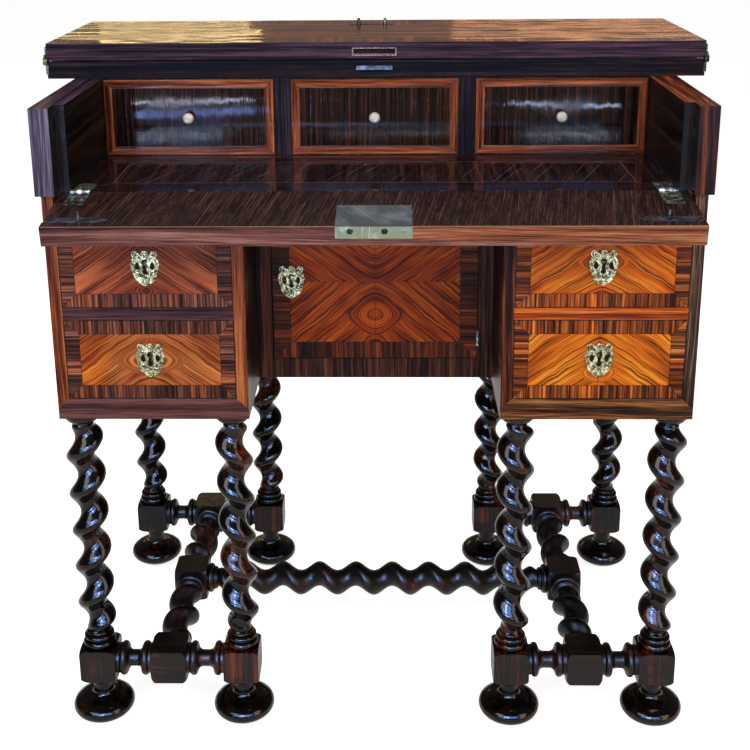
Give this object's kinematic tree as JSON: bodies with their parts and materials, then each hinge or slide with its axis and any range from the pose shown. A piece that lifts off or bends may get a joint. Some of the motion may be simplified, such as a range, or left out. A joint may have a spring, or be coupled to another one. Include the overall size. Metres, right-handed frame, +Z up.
{
  "type": "bureau mazarin",
  "caption": "Folding French writing desk with two drawer pedestals, a recessed cupboard, a fall front and a folding top on barley-twist legs.",
  "frame": {"origin": "on the floor, under the middle of the whole outline with the top folded back and the front lying open", "axes": "+Z up, +Y to the back, +X to the right of someone facing the desk"},
  "size_m": [0.8354, 0.53, 0.8563],
  "materials": {
    "ebonised": "turned walnut stained black, polished",
    "rosewood": "dark red-brown veneer, French polished",
    "figured_veneer": "book-matched figured veneer, French polished",
    "oak": "plain secondary wood, aged",
    "lock_brass": "cast, worn gilt brass",
    "brass": "aged brass",
    "steel": "worn wrought steel",
    "knob_ivory": "turned, polished"
  },
  "bodies": {
    "carcass": {"leg_front_outer_left": "ebonised", "leg_front_outer_right": "ebonised", "leg_front_inner_left": "ebonised", "leg_front_inner_right": "ebonised", "leg_rear_outer_left": "ebonised", "leg_rear_outer_right": "ebonised", "leg_rear_inner_left": "ebonised", "leg_rear_inner_right": "ebonised", "bun_feet": "ebonised", "short_stretchers_front": "ebonised", "short_stretchers_rear": "ebonised", "side_stretcher_left": "ebonised", "side_stretcher_right": "ebonised", "cross_stretcher": "ebonised", "pedestal_left_outer_side": "rosewood", "pedestal_left_inner_side": "oak", "pedestal_left_shelves": "oak", "pedestal_right_outer_side": "rosewood", "pedestal_right_inner_side": "oak", "pedestal_right_shelves": "oak", "pedestal_rails": "rosewood", "cupboard_frame": "rosewood", "cupboard_floor": "oak", "back_boards": "oak", "writing_board": "rosewood", "end_board_left": "rosewood", "end_board_right": "rosewood", "bolt_keepers": "brass", "small_dividers": "rosewood", "rear_leaf": "rosewood", "leaf_tongue": "steel", "leaf_hinge_plates": "brass", "fall_hinge_plates": "brass", "door_hinge_plates": "brass"},
    "front_leaf": {"front_leaf": "rosewood", "leaf_hinge_arms": "brass", "strike_plate": "brass"},
    "fall_front": {"fall_board": "rosewood", "fall_lock": "lock_brass", "fall_hinge_flaps": "brass"},
    "bolt_left": {"slide_bolt_left": "steel"},
    "bolt_right": {"slide_bolt_right": "steel"},
    "door": {"door": "figured_veneer", "door_lock": "lock_brass", "door_hinge_flaps": "brass"},
    "drawer_upper_left": {"drawer_upper_left": "figured_veneer", "drawer_upper_left_lock": "lock_brass"},
    "drawer_upper_right": {"drawer_upper_right": "figured_veneer", "drawer_upper_right_lock": "lock_brass"},
    "drawer_lower_left": {"drawer_lower_left": "figured_veneer", "drawer_lower_left_lock": "lock_brass"},
    "drawer_lower_right": {"drawer_lower_right": "figured_veneer", "drawer_lower_right_lock": "lock_brass"},
    "small_drawer_left": {"small_drawer_left": "rosewood", "small_drawer_left_knob": "knob_ivory"},
    "small_drawer_middle": {"small_drawer_middle": "rosewood", "small_drawer_middle_knob": "knob_ivory"},
    "small_drawer_right": {"small_drawer_right": "rosewood", "small_drawer_right_knob": "knob_ivory"}
  },
  "joints": [
    {"name": "front_leaf_turn", "type": "hinge", "parent": "carcass", "child": "front_leaf", "pos_m": [0, 0.01802, 0.8252], "axis": [1, 0, 0], "range_deg": [0, 180]},
    {"name": "fall_turn", "type": "hinge", "parent": "carcass", "child": "fall_front", "pos_m": [0, -0.16698, 0.703], "axis": [-1, 0, 0], "range_deg": [0, 98]},
    {"name": "bolt_left_slide", "type": "slide", "parent": "fall_front", "child": "bolt_left", "axis": [-1, 0, 0], "range_m": [0, 0.012]},
    {"name": "bolt_right_slide", "type": "slide", "parent": "fall_front", "child": "bolt_right", "axis": [1, 0, 0], "range_m": [0, 0.012]},
    {"name": "door_turn", "type": "hinge", "parent": "carcass", "child": "door", "pos_m": [0.1295, -0.06278, 0.56], "axis": [0, 0, 1], "range_deg": [0, 92]},
    {"name": "drawer_upper_left_slide", "type": "slide", "parent": "carcass", "child": "drawer_upper_left", "axis": [0, -1, 0], "range_m": [0, 0.3]},
    {"name": "drawer_upper_right_slide", "type": "slide", "parent": "carcass", "child": "drawer_upper_right", "axis": [0, -1, 0], "range_m": [0, 0.3]},
    {"name": "drawer_lower_left_slide", "type": "slide", "parent": "carcass", "child": "drawer_lower_left", "axis": [0, -1, 0], "range_m": [0, 0.3]},
    {"name": "drawer_lower_right_slide", "type": "slide", "parent": "carcass", "child": "drawer_lower_right", "axis": [0, -1, 0], "range_m": [0, 0.3]},
    {"name": "small_drawer_left_slide", "type": "slide", "parent": "carcass", "child": "small_drawer_left", "axis": [0, -1, 0], "range_m": [0, 0.15]},
    {"name": "small_drawer_middle_slide", "type": "slide", "parent": "carcass", "child": "small_drawer_middle", "axis": [0, -1, 0], "range_m": [0, 0.15]},
    {"name": "small_drawer_right_slide", "type": "slide", "parent": "carcass", "child": "small_drawer_right", "axis": [0, -1, 0], "range_m": [0, 0.15]}
  ]
}
